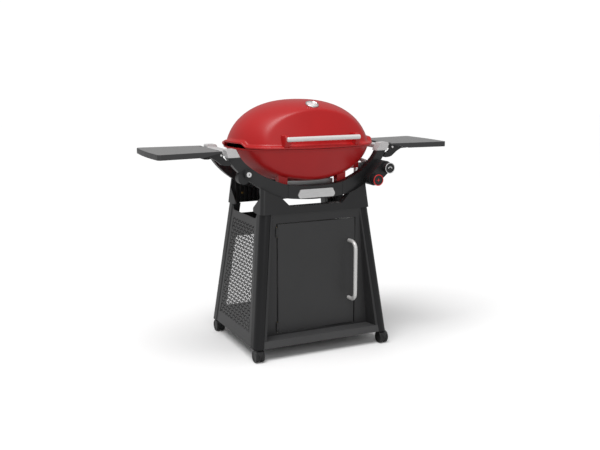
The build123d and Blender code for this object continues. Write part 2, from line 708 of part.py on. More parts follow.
save("knob_main", make_knob(KNOB_MAIN, 34))
save("knob_small", make_knob(KNOB_SMALL, 34))
save("knob_ring_main", make_ring(KNOB_MAIN, KNOB_R + 1, 1.3))
save("knob_ring_small", make_ring(KNOB_SMALL, KNOB_R, 1.3))

save("cookbox", make_cookbox() - cradle_front - cradle_rear)
save("grate_left", make_grate(-1))
save("grate_right", make_grate(1))
burner_outer, burner_inner = make_burners()
save("burner_outer", burner_outer)
save("burner_inner", burner_inner)
save("tray_rails", *make_tray_rails())
save("drip_tray", make_drip_tray())
gas_line = make_gas_line() - cradle_front
save("gas_manifold", gas_line)
regulator = fillet(box(164, 212, -30, 14, 592, 631.5).edges(), 5)
save("gas_regulator", regulator + rod_x(140, 166, -8, 606, 10))
bracket = box(246, 316, -96, -94, 742, 774) + box(246, 316, -96, -66, 742, 744)
save("manifold_bracket", bracket - gas_line)
save("igniter_electrode", rod_z(150, -60, 745, 800, 3) + rod_x(130, 153, -60, 798.5, 1.5))
save("fascia_bolts", *[rod_y(side * 196, 158, 152, 636, 4.5) for side in (-1, 1)])
lid = make_lid()
save("lid", lid)
handle = rod_x(-164, 164, HANDLE_Y, HANDLE_Z, HANDLE_R)
save("lid_handle", fillet(handle.edges().filter_by(GeomType.CIRCLE), 5))
save("lid_hinge_pins", *[rod_x(side * 68, side * 116, *LID_AXIS, PIN_R) for side in (-1, 1)])
thermometer = rod_along_normal(THERMO_POINT, THERMO_TILT, -2, 6, 27.5) - lid
save("thermometer", thermometer + rod_along_normal(THERMO_POINT, THERMO_TILT, -60, 0, 4))
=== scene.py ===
# %% [markdown]
# # A gas grill on a cabinet cart
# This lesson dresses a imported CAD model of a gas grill: a red cast lid and cookbox in a black
# cradle, two folding tables, and a charcoal cabinet on four casters. The CAD model gives every
# size and place. Blender adds the finishes, the perforated sheets and the small fittings.

import math

import bmesh
import bpy
from mathutils import Matrix, Vector


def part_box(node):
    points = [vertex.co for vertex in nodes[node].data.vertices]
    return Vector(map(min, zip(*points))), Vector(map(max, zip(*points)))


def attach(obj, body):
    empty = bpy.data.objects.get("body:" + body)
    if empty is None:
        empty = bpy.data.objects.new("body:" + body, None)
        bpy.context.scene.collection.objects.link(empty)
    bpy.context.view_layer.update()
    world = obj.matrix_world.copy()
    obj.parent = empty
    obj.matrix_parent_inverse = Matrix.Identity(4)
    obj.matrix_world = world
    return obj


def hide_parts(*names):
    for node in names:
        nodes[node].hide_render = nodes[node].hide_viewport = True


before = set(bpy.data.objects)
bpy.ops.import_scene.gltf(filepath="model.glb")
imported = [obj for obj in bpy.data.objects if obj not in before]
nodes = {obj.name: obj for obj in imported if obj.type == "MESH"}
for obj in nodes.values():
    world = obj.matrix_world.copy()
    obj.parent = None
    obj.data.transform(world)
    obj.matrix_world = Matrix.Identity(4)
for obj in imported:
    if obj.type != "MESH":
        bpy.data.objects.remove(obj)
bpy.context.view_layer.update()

# %% [markdown]
# ## Shader sums
# A finish is mostly arithmetic on a few noise patterns. Wiring Math nodes by hand hides that
# arithmetic, so a small class wraps a socket and lets Python's own signs add the nodes. Every
# other node comes from one method, which sets the node's choices first and its sockets next.

# %% A shader value and the paint pot
class Value:
    """A number in a shader. Sums written with it add their own Math nodes."""

    def __init__(self, paint, socket):
        self.paint = paint
        self.socket = socket

    def sum(self, operation, first, second):
        """One Math node, with this value on either side of the sign."""
        return self.paint.node("ShaderNodeMath", {"operation": operation}, {0: first, 1: second})

    def __add__(self, other):
        return self.sum("ADD", self, other)

    def __radd__(self, other):
        return self.sum("ADD", other, self)

    def __sub__(self, other):
        return self.sum("SUBTRACT", self, other)

    def __rsub__(self, other):
        return self.sum("SUBTRACT", other, self)

    def __mul__(self, other):
        return self.sum("MULTIPLY", self, other)

    def __rmul__(self, other):
        return self.sum("MULTIPLY", other, self)

    def between(self, low, high):
        """0 below low, 1 above high, and smooth from one to the other."""
        settings = {"interpolation_type": "SMOOTHSTEP"}
        sockets = {"Value": self, "From Min": low, "From Max": high}
        return self.paint.node("ShaderNodeMapRange", settings, sockets)


class Paint:
    """A finish being mixed: one material with its main shader."""

    def __init__(self, name):
        self.material = bpy.data.materials.new(name)
        self.material.use_nodes = True
        self.tree = self.material.node_tree
        self.shader = self.tree.nodes["Principled BSDF"]
        self.place = self.node("ShaderNodeTexCoord", output="Object")

    def node(self, kind, settings=None, sockets=None, output=0):
        """Any node: its type, its choices, the values or links of its sockets, and the output wanted."""
        made = self.tree.nodes.new(kind)
        for name, choice in (settings or {}).items():
            setattr(made, name, choice)
        for name, value in (sockets or {}).items():
            self.fill(made.inputs[name], value)
        return Value(self, made.outputs[output])

    def fill(self, socket, value):
        """Links a shader value to a socket, or sets a plain number or colour on it."""
        if isinstance(value, Value):
            self.tree.links.new(value.socket, socket)
        elif isinstance(value, tuple) and socket.type == "RGBA":
            socket.default_value = (*value[:3], 1.0)
        elif value is not None:
            socket.default_value = value

    def set(self, **values):
        """Sets the main shader's sockets: base_color fills Base Color."""
        for name, value in values.items():
            self.fill(self.shader.inputs[name.replace("_", " ").title().replace("Ior", "IOR")], value)

    def noise(self, scale, detail=2.0, stretch=None):
        """Cloudy noise, stretched along an axis if asked."""
        place = self.place
        if stretch:
            place = self.node("ShaderNodeVectorMath", {"operation": "MULTIPLY"}, {0: place, 1: stretch})
        return self.node("ShaderNodeTexNoise", None, {"Vector": place, "Scale": scale, "Detail": detail})

    def mix(self, amount, low, high):
        """A colour between two colours."""
        settings = {"data_type": "RGBA"}
        return self.node("ShaderNodeMix", settings, {0: amount, 6: low, 7: high}, output=2)

    def bump(self, height, strength, distance):
        """Fine relief, which feeds the shader's normal."""
        sockets = {"Height": height, "Strength": strength, "Distance": distance}
        self.set(normal=self.node("ShaderNodeBump", None, sockets))


print("shader sums ready")

# %% [markdown]
# ## Finishes
# Real parts of this grill have a dozen finishes. Each one here is a colour with a slow cloud in
# it, a roughness that follows the cloud a little, and a fine relief at the true scale of the
# process: orange peel for sprayed paint, grains for powder coat, drawn lines for brushed steel.

# %% Painted and moulded finishes
def shade(colour, factor):
    """The same colour, darker or lighter."""
    return tuple(min(1.0, c * factor) for c in colour)


def sprayed(name, colour, rough, peel=420.0, relief=0.05, coat=0.0, spread=0.14, gloss=0.5):
    """Paint or plastic: a slow cloud in the colour and a fine skin."""
    paint = Paint(name)
    cloud = paint.noise(7.0, 3.0)
    skin = paint.noise(peel, 2.0)
    darker, lighter = shade(colour, 1 - spread), shade(colour, 1 + spread)
    paint.set(base_color=paint.mix(cloud.between(0.35, 0.65), darker, lighter))
    paint.set(roughness=rough - 0.02 + 0.04 * cloud, specular_ior_level=gloss)
    paint.set(coat_weight=coat, coat_roughness=0.22)
    paint.bump(skin, relief * 4, 0.0004)
    return paint.material


red_enamel = sprayed("red_enamel", (0.46, 0.010, 0.011), 0.36, 260.0, 0.03,
                     coat=0.04, spread=0.03, gloss=0.42)
black_resin = sprayed("black_resin", (0.018, 0.018, 0.019), 0.38, 500.0, 0.05, spread=0.05)
charcoal = sprayed("charcoal_powder_coat", (0.026, 0.026, 0.027), 0.40, 900.0, 0.07, spread=0.04)
# The door panel, the side sheets and the front bottom rail get lighter copies of the charcoal powder coat:
# painted light for the light they catch.
panel_coat_painted_light = sprayed("panel_powder_coat", (0.034, 0.034, 0.035), 0.42, 900.0, 0.07, spread=0.04)
sheet_coat_painted_light = sprayed("sheet_powder_coat_painted_light", (0.058, 0.058, 0.059), 0.42, 900.0, 0.07, spread=0.04)
# The front legs get a darker copy of the powder coat than the rear legs: painted shade for the dark they
# mirror.
leg_coat_painted_shade = sprayed("leg_powder_coat_painted_shade", (0.010, 0.010, 0.011), 0.32, 900.0, 0.05, spread=0.04, gloss=0.35)
tyre_black = sprayed("black_tyre", (0.012, 0.012, 0.012), 0.36, 700.0, 0.04)
cast_iron = sprayed("cast_iron", (0.022, 0.022, 0.022), 0.62, 420.0, 0.3)
spark_red = sprayed("red_trim", (0.78, 0.020, 0.020), 0.30, 300.0, 0.01, coat=0.2, spread=0.03)
print("painted finishes ready")

# %% [markdown]
# Bare metal is darker where it faces the dark and bright where it faces a light, so its colour
# is pale and its roughness does the work. Brushed steel gets long thin noise along the way it
# was drawn, and castings get a coarse, short one. Silver paint scatters light as a pale matt
# surface does, and so do the badge and the brushed steel, so they are only partly metallic. On the
# brushed steel this pale matt colour is partly painted reflection, standing in for a bright room.

# %% Bare metals
def metal(name, colour, rough, grain, stretch, relief, metallic=1.0):
    """Metal with a grain: brushed where the stretch is long, cast where it is even."""
    paint = Paint(name)
    line = paint.noise(grain, 3.0, stretch)
    smear = paint.noise(18.0, 2.0)
    paint.set(base_color=paint.mix(line.between(0.3, 0.7), shade(colour, 0.88), colour), metallic=metallic)
    paint.set(roughness=rough + 0.10 * (line - 0.5) + 0.12 * (smear - 0.5))
    paint.bump(line, relief, 0.0003)
    return paint.material


# The brushed steels are only partly metallic, so their pale colour scatters as a matt surface: partly the
# steel's own grey, partly a painted reflection of a bright room.
satin_steel = metal("satin_steel", (0.86, 0.85, 0.84), 0.30, 900.0, (0.02, 1.0, 1.0), 0.06, metallic=0.20)
upright_steel_painted_reflection = metal("satin_steel_upright", (0.80, 0.79, 0.78), 0.28, 900.0, (1.0, 1.0, 0.02), 0.06,
                      metallic=0.30)
silver_casting = metal("silver_casting", (0.74, 0.73, 0.73), 0.36, 320.0, (1.0, 1.0, 1.0), 0.12,
                       metallic=0.30)
silver_paint = metal("silver_paint", (0.88, 0.88, 0.88), 0.34, 320.0, (1.0, 1.0, 1.0), 0.02, metallic=0.25)
bare_aluminium = metal("bare_aluminium", (0.72, 0.72, 0.72), 0.40, 500.0, (0.06, 1.0, 1.0), 0.08)
chrome = metal("chrome_trim", (0.82, 0.82, 0.82), 0.10, 300.0, (1.0, 1.0, 1.0), 0.01)
badge_metal = metal("badge_metal", (0.74, 0.74, 0.74), 0.38, 800.0, (0.04, 1.0, 1.0), 0.03, metallic=0.30)
brass = metal("brass_hardware", (0.60, 0.40, 0.13), 0.30, 400.0, (1.0, 1.0, 1.0), 0.05)
print("metals ready")

# %% [markdown]
# The table tops are one moulding, with a pebbled upper face and smooth dark sides. The upper face
# is paler partly for its pebbled texture and partly as painted light, for the light that falls on
# it from above. One finish can hold both, because the surface knows which way it faces: the mask
# is the upward part of its normal, and pebbles and the paler grey only come in where it is high.

# %% The pebbled table
def table_finish():
    """Pebbled grey above, made paler there partly by painted light; smooth and darker on the sides and
    below.
    """
    paint = Paint("grey_table_resin")
    facing = paint.node("ShaderNodeNewGeometry", output="Normal")
    up = paint.node("ShaderNodeSeparateXYZ", None, {0: facing}, output=2)
    top = up.between(0.80, 0.98)
    cells = {"Vector": paint.place, "Scale": 360.0}
    pebble = paint.node("ShaderNodeTexVoronoi", {"feature": "SMOOTH_F1"}, cells)
    cloud = paint.noise(9.0, 3.0)
    # Painted light: the top's paler grey stands partly for the light from above; the pebbles vary its tone.
    pebbles_and_painted_light = paint.mix(pebble.between(0.15, 0.65), (0.17, 0.17, 0.17), (0.25, 0.25, 0.25))
    paint.set(base_color=paint.mix(top, (0.045, 0.045, 0.047), pebbles_and_painted_light))
    paint.set(roughness=0.40 + 0.16 * top + 0.06 * cloud)
    paint.bump(pebble * top, 0.45, 0.0006)
    return paint.material


table_grey_painted_top_light = table_finish()
print("table finish ready")

# %% [markdown]
# A trim ring is bright only on the face that the cook sees. Its side is the black of the knob,
# so the mask is once more the way the surface faces, this time towards the front.

# %% The trim rings
def trim_finish(name, colour, metallic):
    """Bright on the face that looks forward, black round the side."""
    paint = Paint(name)
    facing = paint.node("ShaderNodeNewGeometry", output="Normal")
    forward = paint.node("ShaderNodeSeparateXYZ", None, {0: facing}, output=1)
    front = (0 - forward).between(0.35, 0.65)
    cloud = paint.noise(60.0)
    bright = paint.mix(cloud.between(0.3, 0.7), shade(colour, 0.93), colour)
    paint.set(base_color=paint.mix(front, (0.018, 0.018, 0.019), bright))
    paint.set(roughness=0.30 + 0.05 * cloud, metallic=metallic * front if metallic else 0.0)
    return paint.material


red_ring = trim_finish("red_ring", (0.80, 0.022, 0.022), 0.0)
silver_ring = trim_finish("silver_ring", (0.88, 0.88, 0.88), 0.2)
print("trim finishes ready")

# %% [markdown]
# ## Painting the CAD pieces
# Most solids have their final shape, so they only need a finish. A table from the start of each
# name to a finish keeps this short: the first line that fits a piece is the one that counts.

# %% Paint every CAD piece
coats = [
    ("lid_handle", satin_steel), ("lid_hinge", satin_steel), ("lid", red_enamel), ("cookbox", red_enamel),
    ("thermometer", chrome), ("cradle", black_resin), ("control_pod", black_resin),
    ("igniter_housing", black_resin), ("igniter_button", silver_paint), ("igniter_electrode", satin_steel),
    ("front_fascia", black_resin), ("rear_fascia", black_resin), ("end_rail", silver_casting),
    ("side_table", table_grey_painted_top_light), ("table_brackets", black_resin), ("table_pin", satin_steel),
    ("badge", badge_metal), ("knob_ring_main", red_ring), ("knob_ring_small", silver_ring),
    ("knob", black_resin), ("gas_manifold", satin_steel), ("manifold_bracket", bare_aluminium),
    ("gas_regulator", black_resin), ("grate", cast_iron), ("burner", satin_steel),
    ("tray_rails", bare_aluminium), ("drip_tray", bare_aluminium), ("door_handle", upright_steel_painted_reflection),
    ("door_hinge_pins", brass), ("fascia_bolts", brass),
    ("caster_wheels", tyre_black), ("caster_hood", black_resin), ("leg_front", leg_coat_painted_shade),
    ("door_panel", panel_coat_painted_light), ("side_panel", sheet_coat_painted_light), ("front_bottom_rail", sheet_coat_painted_light),
    ("", charcoal),
]
for name, piece in nodes.items():
    finish = next(coat for start, coat in coats if name.startswith(start))
    for material_slot in piece.material_slots:
        material_slot.material = finish
print("painted", len(nodes), "pieces")

# %% [markdown]
# ## Helpers for added pieces
# An added piece is a plain mesh whose place is in its points, so it can be baked as it stands.
# `add_piece` makes one and hands it to the body that carries it. `turned` spins a profile round
# an axis, like a lathe: the profile starts and ends on the axis, so the shape is closed.

# %% Mesh helpers
def add_piece(name, mesh, body, finish, smooth=True):
    """Makes an object of a mesh, gives it its finish and lets it ride on its body."""
    piece = bpy.data.objects.new(name, mesh)
    bpy.context.scene.collection.objects.link(piece)
    mesh.materials.clear()
    mesh.materials.append(finish)
    for face in mesh.polygons:
        face.use_smooth = smooth
    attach(piece, body)
    return piece


def from_points(name, points, faces):
    """A mesh from points and faces, with its faces turned outwards."""
    mesh = bpy.data.meshes.new(name)
    shape = bmesh.new()
    corners = [shape.verts.new(p) for p in points]
    for face in faces:
        shape.faces.new([corners[i] for i in face])
    bmesh.ops.remove_doubles(shape, verts=shape.verts, dist=1e-6)
    bmesh.ops.recalc_face_normals(shape, faces=shape.faces)
    shape.to_mesh(mesh)
    shape.free()
    return mesh


def turned(name, profile, centre, axis, steps=48):
    """A lathe shape: (radius, height) profile spun round an axis through a centre."""
    points = []
    for radius, height in profile:
        for i in range(steps):
            angle = 2 * math.pi * i / steps
            points.append((radius * math.cos(angle), radius * math.sin(angle), height))
    faces = []
    for row in range(len(profile) - 1):
        for i in range(steps):
            j = (i + 1) % steps
            a, b = row * steps, (row + 1) * steps
            faces.append((a + i, a + j, b + j, b + i))
    turn = Vector(axis).to_track_quat("Z", "Y").to_matrix().to_4x4()
    place = Matrix.Translation(centre) @ turn
    shape = bmesh.new()
    corners = [shape.verts.new(place @ Vector(p)) for p in points]
    for face in faces:
        shape.faces.new([corners[i] for i in face])
    bmesh.ops.remove_doubles(shape, verts=shape.verts, dist=1e-6)
    bmesh.ops.dissolve_degenerate(shape, edges=shape.edges, dist=1e-7)
    bmesh.ops.recalc_face_normals(shape, faces=shape.faces)
    mesh = bpy.data.meshes.new(name)
    shape.to_mesh(mesh)
    shape.free()
    return mesh


def centre_of(name):
    """Middle of a CAD piece's box."""
    low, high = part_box(name)
    return (low + high) / 2


print("helpers ready")

# %% [markdown]
# ## Perforated side sheets
# The side walls of the cabinet are pressed sheets with short slots that lean left and right in
# turn. Hundreds of slots are too many to model by hand, and cutting them with booleans is slow
# and fragile. Geometry Nodes repeat one small tile instead: a square of sheet with its slot
# already in it. Every second tile is turned a quarter, which makes the zigzag, and the tiles are
# joined into one skin. A plain border frames the field and hides its stepped edge.

# %% One tile with a slanted slot
def slot_tile(pitch, length, width):
    """A square of sheet with one diagonal slot, in the XY plane."""
    h = pitch / 2
    along = Vector((1, 1, 0)).normalized() * length / 2
    across = Vector((1, -1, 0)).normalized() * width / 2
    points = [(-h, -h, 0), (h, -h, 0), (h, h, 0), (-h, h, 0)]
    points += [-along + across, -along - across, along + across, along - across]
    faces = [(0, 1, 4), (1, 6, 4), (1, 2, 6), (0, 4, 5), (2, 7, 6), (0, 5, 3), (3, 5, 7), (3, 7, 2)]
    mesh = bpy.data.meshes.new("slot_tile")
    mesh.from_pydata([tuple(p) for p in points], [], faces)
    return mesh


print("slot tile ready")

# %% The node tree that repeats the tile
def perforation_tree():
    """Repeats the object's own tile over a tapered field and turns every second one."""
    tree = bpy.data.node_groups.new("perforated_field", "GeometryNodeTree")
    face = tree.interface
    face.new_socket("Tile", in_out="INPUT", socket_type="NodeSocketGeometry")
    for name, kind in (("Pitch", "Float"), ("Columns", "Int"), ("Rows", "Int"), ("Half width low", "Float"),
                       ("Half width high", "Float"), ("Finish", "Material")):
        face.new_socket(name, in_out="INPUT", socket_type="NodeSocket" + kind)
    face.new_socket("Sheet", in_out="OUTPUT", socket_type="NodeSocketGeometry")

    def node(kind, settings=None):
        made = tree.nodes.new(kind)
        for name, choice in (settings or {}).items():
            setattr(made, name, choice)
        return made

    def link(source, item, socket):
        tree.links.new(source, item.inputs[socket])

    def maths(operation, first, second=None):
        """A Math node fed by links or by plain numbers."""
        item = node("ShaderNodeMath", {"operation": operation})
        for number, value in enumerate((first, second)):
            if isinstance(value, (int, float)):
                item.inputs[number].default_value = value
            elif value is not None:
                link(value, item, number)
        return item.outputs[0]

    asked = node("NodeGroupInput").outputs
    pitch, low, high = asked["Pitch"], asked["Half width low"], asked["Half width high"]
    wide = maths("MULTIPLY", pitch, maths("SUBTRACT", asked["Columns"], 1))
    tall = maths("MULTIPLY", pitch, maths("SUBTRACT", asked["Rows"], 1))
    grid = node("GeometryNodeMeshGrid")
    link(asked["Columns"], grid, "Vertices X")
    link(asked["Rows"], grid, "Vertices Y")
    link(wide, grid, "Size X")
    link(tall, grid, "Size Y")

    # Where a tile stands gives its column and row, and the sum of the two says which way it turns.
    parts = node("ShaderNodeSeparateXYZ")
    link(node("GeometryNodeInputPosition").outputs[0], parts, 0)
    column = maths("ROUND", maths("DIVIDE", parts.outputs[0], pitch))
    row = maths("ROUND", maths("DIVIDE", parts.outputs[1], pitch))
    odd = maths("FLOORED_MODULO", maths("ADD", column, row), 2)
    spin = node("ShaderNodeCombineXYZ")
    link(maths("MULTIPLY", odd, math.pi / 2), spin, 2)

    # The field narrows towards its top, so tiles outside the sloping edge are dropped.
    rise = maths("ADD", maths("DIVIDE", parts.outputs[1], tall), 0.5)
    half = maths("ADD", maths("MULTIPLY", maths("SUBTRACT", high, low), rise), low)
    outside = maths("GREATER_THAN", maths("ABSOLUTE", parts.outputs[0]), half)
    drop = node("GeometryNodeDeleteGeometry", {"domain": "POINT"})
    link(grid.outputs["Mesh"], drop, "Geometry")
    link(outside, drop, "Selection")

    place = node("GeometryNodeInstanceOnPoints")
    link(drop.outputs[0], place, "Points")
    link(asked["Tile"], place, "Instance")
    link(spin.outputs[0], place, "Rotation")
    weld = node("GeometryNodeMergeByDistance")
    weld.inputs["Distance"].default_value = 0.0002
    solid = node("GeometryNodeRealizeInstances")
    coat = node("GeometryNodeSetMaterial")
    link(place.outputs[0], solid, 0)
    link(solid.outputs[0], weld, 0)
    link(weld.outputs[0], coat, "Geometry")
    link(asked["Finish"], coat, "Material")
    link(coat.outputs[0], node("NodeGroupOutput"), 0)
    return tree


field_tree = perforation_tree()
print("perforation tree has", len(field_tree.nodes), "nodes")

# %% Feed a tree, and turn its result into a plain mesh
def through_tree(name, mesh, tree, thickness=None, **values):
    """Runs a mesh through a Geometry Nodes tree and returns the finished plain mesh."""
    holder = bpy.data.objects.new(name, mesh)
    bpy.context.scene.collection.objects.link(holder)
    modifier = holder.modifiers.new("pattern", "NODES")
    modifier.node_group = tree
    for item in tree.interface.items_tree:
        if item.item_type == "SOCKET" and item.in_out == "INPUT" and item.name in values:
            modifier[item.identifier] = values[item.name]
    if thickness:
        wall = holder.modifiers.new("wall", "SOLIDIFY")
        wall.thickness = thickness
        wall.offset = 0.0
    ready = holder.evaluated_get(bpy.context.evaluated_depsgraph_get())
    result = bpy.data.meshes.new_from_object(ready)
    bpy.data.objects.remove(holder)
    result.name = name
    return result


print("tree runner ready")

# %% Perforated field and border of each side sheet
def edge_at(name, height, tolerance=0.004):
    """Outer x, and front and rear y, of a side sheet near a height."""
    level = [v.co for v in nodes[name].data.vertices if abs(v.co.z - height) < tolerance]
    return max((abs(p.x) for p in level)), min(p.y for p in level), max(p.y for p in level)


PITCH = 0.0157      # from slot to slot
SLOT = (0.0150, 0.0050)     # length and width of a slot
SHEET = 0.0016      # thickness of the sheet
BORDER = 0.022      # plain band beside the field
middle_y = centre_of("end_rail_left").y
for side, way in (("left", -1), ("right", 1)):
    name = "side_panel_" + side
    low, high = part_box(name)
    x_low, front_low, rear_low = edge_at(name, low.z)
    x_high, front_high, rear_high = edge_at(name, high.z)
    half_low, half_high = (rear_low - front_low) / 2, (rear_high - front_high) / 2
    height = high.z - low.z
    slope = math.hypot(height, x_low - x_high)
    up = Vector((way * (x_high - x_low), 0, height)).normalized()
    across = Vector((0, 1, 0))
    base = Vector((way * (x_low - 0.001), middle_y, low.z))

    def on_sheet(y, v):
        """Point on the middle of the sheet, v metres up its slope."""
        return base + across * y + up * v

    def half_at(v):
        """Half the sheet's width, v metres up its slope."""
        return half_low + (half_high - half_low) * v / slope

    dip = slope - BORDER
    field_low, field_high = 0.046, dip - 0.026
    rows = int((field_high - field_low) / PITCH)
    middle = (field_low + field_high) / 2
    reach = (rows - 1) * PITCH / 2
    field_name, border_name = "perforated_field_" + side, "side_sheet_border_" + side
    widths = {"Half width low": half_at(middle - reach) - 0.021,
              "Half width high": half_at(middle + reach) - 0.021}
    field = through_tree(field_name, slot_tile(PITCH, *SLOT), field_tree, SHEET * 0.6,
                         Pitch=PITCH, Columns=25, Rows=rows, Finish=sheet_coat_painted_light, **widths)
    turn = Matrix((across, up, across.cross(up))).transposed().to_4x4()
    field.transform(Matrix.Translation(on_sheet(0, middle)) @ turn)
    add_piece(field_name, field, "grill_frame", sheet_coat_painted_light, smooth=False)

    outer = [(-half_at(0), 0), (half_at(0), 0), (half_at(slope), slope), (half_at(dip) - 0.004, slope),
             (half_at(dip) - 0.010, dip + 0.006), (half_at(dip) - 0.020, dip)]
    outer = outer + [(-y, v) for y, v in reversed(outer[2:])]
    inner_low, inner_high = half_at(field_low) - BORDER, half_at(field_high) - BORDER
    inner = [(-inner_low, field_low + 0.004), (inner_low, field_low + 0.004),
             (inner_high, field_high - 0.004), (-inner_high, field_high - 0.004)]
    shape = bmesh.new()
    rings = [[shape.verts.new(on_sheet(y, v)) for y, v in ring] for ring in (outer, inner)]
    loops = [shape.edges.new((ring[i - 1], ring[i])) for ring in rings for i in range(len(ring))]
    bmesh.ops.triangle_fill(shape, edges=loops, use_beauty=True)
    mesh = bpy.data.meshes.new(border_name)
    shape.to_mesh(mesh)
    shape.free()
    border = add_piece(border_name, mesh, "grill_frame", sheet_coat_painted_light, smooth=False)
    wall = border.modifiers.new("wall", "SOLIDIFY")
    wall.thickness = SHEET
    wall.offset = 0.0
    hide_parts(name)
    print(name, "has", len(field.polygons), "faces in its field")

# %% [markdown]
# ## The lid
# The real lid is a thin casting: an oval dome whose front is cut away by a flatter, slightly
# bowed panel that meets it in a soft crease, with a flange that lifts at each end to let smoke
# out. A sculpted mesh would never be quite even. The shape follows a rule instead: the oval and
# the panel each give a distance from the middle in every direction, and the nearer one counts,
# with a high power mean so that they melt together over the crease.

# %% The rule of the dome
LID = {"half_x": 0.313, "half_y": 0.303, "height": 0.247, "base": 0.800, "tilt": math.radians(23.0),
       "offset": 0.248, "bow": 0.8}
RIM_Z = 0.860       # underside of the flange
EAR_RISE = 0.0155   # how far the flange lifts at the two ends
WALL = 0.004        # thickness of the casting
OVAL = 1.95         # power of the outline seen from above: 2 is an ellipse
BULGE = 2.3         # power of the outline seen from the side


def dome_reach(angle, rise, spec, crease=64):
    """Distance from the upright axis to the shell, in one direction, at one rise."""
    across, ahead = math.cos(angle), math.sin(angle)
    shrink = max(0.0, 1 - (rise / spec["height"]) ** BULGE) ** (1 / BULGE)
    oval = (abs(across) / spec["half_x"]) ** OVAL + (abs(ahead) / spec["half_y"]) ** OVAL
    round_reach = max(shrink / oval ** (1 / OVAL), 1e-6)
    if ahead > -0.02:
        return round_reach
    bend = spec["bow"] * across * across
    lean = -math.cos(spec["tilt"]) * ahead
    gap = spec["offset"] - math.sin(spec["tilt"]) * rise
    if bend > 1e-6:
        flat_reach = (math.sqrt(lean * lean + 4 * bend * gap) - lean) / (2 * bend)
    else:
        flat_reach = gap / lean
    nearer, further = sorted((round_reach, flat_reach))
    return nearer * (1 + (nearer / further) ** crease) ** (-1 / crease)


def smooth_step(value, low, high):
    """0 below low, 1 above high, smooth between, for plain numbers."""
    t = min(1.0, max(0.0, (value - low) / (high - low)))
    return t * t * (3 - 2 * t)


def lift(angle):
    """How far the flange is lifted at an angle, from 0 to 1: only at the two ends."""
    reach = dome_reach(angle, 0.060, LID)
    y = reach * math.sin(angle)
    if abs(reach * math.cos(angle)) < 0.2:
        return 0.0
    return smooth_step(y, -0.128, -0.098) * (1 - smooth_step(y, 0.024, 0.054))


print("half width of the dome at its base:", round(dome_reach(0.0, 0.0, LID), 3))

# %% The lid shell
def lid_mesh(steps=256, rows=56):
    """Outer skin from the pole down, round the flange, and up the inner skin."""
    flange = [(0.0015, 0.0125), (0.004, 0.0108), (0.008, 0.0100), (0.0125, 0.0094), (0.0150, 0.0078),
              (0.0160, 0.0050), (0.0156, 0.0022), (0.0140, 0.0004), (0.0110, 0.0), (0.0020, 0.0002),
              (-0.0030, 0.0020), (-0.0040, 0.0060)]
    points, faces = [], []
    for i in range(steps):
        angle = 2 * math.pi * i / steps
        raised = lift(angle)
        rim_z = RIM_Z + EAR_RISE * raised
        start = ((rim_z + 0.0135 - LID["base"]) / LID["height"]) ** (BULGE / 2)
        column = []
        for skin in (0, 1):
            level = []
            for row in range(rows):
                phi = math.pi / 2 - (math.pi / 2 - math.asin(start)) * (row + 0.5 * (row == 0)) / (rows - 1)
                rise = LID["height"] * math.sin(phi) ** (2 / BULGE)
                reach = dome_reach(angle, rise, LID)
                if skin:
                    rise -= WALL * math.sin(phi)
                    reach = max(reach - WALL * math.cos(phi), 0.0004)
                level.append((reach, LID["base"] + rise))
            column.append(level)
        base_reach = dome_reach(angle, rim_z - LID["base"], LID)
        rim = [(base_reach + grow * (1 + 0.18 * raised * (grow > 0)), rim_z + z) for grow, z in flange]
        outline = column[0] + rim + list(reversed(column[1]))
        for reach, z in outline:
            points.append((reach * math.cos(angle), reach * math.sin(angle) + middle_y, z))
    span = 2 * rows + len(flange)
    for i in range(steps):
        j = (i + 1) % steps
        for row in range(span - 1):
            faces.append((i * span + row, i * span + row + 1, j * span + row + 1, j * span + row))
    faces.append(tuple(i * span for i in range(steps)))
    faces.append(tuple(i * span + span - 1 for i in reversed(range(steps))))
    return from_points("lid_shell", points, faces)


lid_shell = add_piece("lid_shell", lid_mesh(), "lid", red_enamel)
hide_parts("lid")
print("lid shell:", len(lid_shell.data.polygons), "faces")

# %% [markdown]
# The lid carries two posts for its handle and two lugs for its hinge. Both are cast blocks with
# rounded edges, so each is an outline pushed sideways to a thickness, and a Bevel modifier
# rounds what the pattern maker would have rounded.

# %% Posts and hinge lugs
def slab(name, outline, x0, x1, body, finish, bevel):
    """An outline in (y, z) pushed from x0 to x1, with rounded edges."""
    points = [(x, y, z) for x in (x0, x1) for y, z in outline]
    n = len(outline)
    faces = [tuple(range(n)), tuple(range(2 * n - 1, n - 1, -1))]
    faces += [(i, (i + 1) % n, n + (i + 1) % n, n + i) for i in range(n)]
    piece = add_piece(name, from_points(name, points, faces), body, finish)
    rounding = piece.modifiers.new("rounding", "BEVEL")
    rounding.width = bevel
    rounding.segments = 3
    rounding.limit_method = "ANGLE"
    return piece


handle_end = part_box("lid_handle")[1].x
handle_y, handle_z = centre_of("lid_handle").y, centre_of("lid_handle").z
for side in (-1, 1):
    name = "left" if side < 0 else "right"
    post = [(0.052, -0.034), (0.018, -0.034), (0.007, -0.020), (0.0045, -0.008), (0.0045, 0.006),
            (0.010, 0.013), (0.024, 0.015), (0.058, 0.014)]
    post = [(handle_y + y, handle_z + z) for y, z in post]
    near, far = side * (handle_end - 0.016), side * (handle_end + 0.004)
    slab("handle_post_" + name, post, near, far, "lid", red_enamel, 0.0035)
    pin = centre_of("lid_hinge_pins")
    knuckle = [(pin.y + 0.010 * math.cos(t), pin.z + 0.010 * math.sin(t))
               for t in [math.radians(a) for a in range(-90, 91, 20)]]
    lug = knuckle + [(pin.y - 0.052, RIM_Z + 0.014), (pin.y - 0.052, RIM_Z + 0.002),
                     (pin.y - 0.012, RIM_Z + 0.0005), (pin.y - 0.008, pin.z)]
    slab("lid_lug_" + name, lug, side * 0.070, side * 0.090, "lid", red_enamel, 0.002)
print("posts and lugs made")

# %% [markdown]
# ## Thermometer
# A dial thermometer sits square to the lid near its top. It is turned work: a chrome cup with a
# rolled lip, a white dial set just below the lip, and fine marks printed on the dial. The marks
# are plain strokes without numbers.

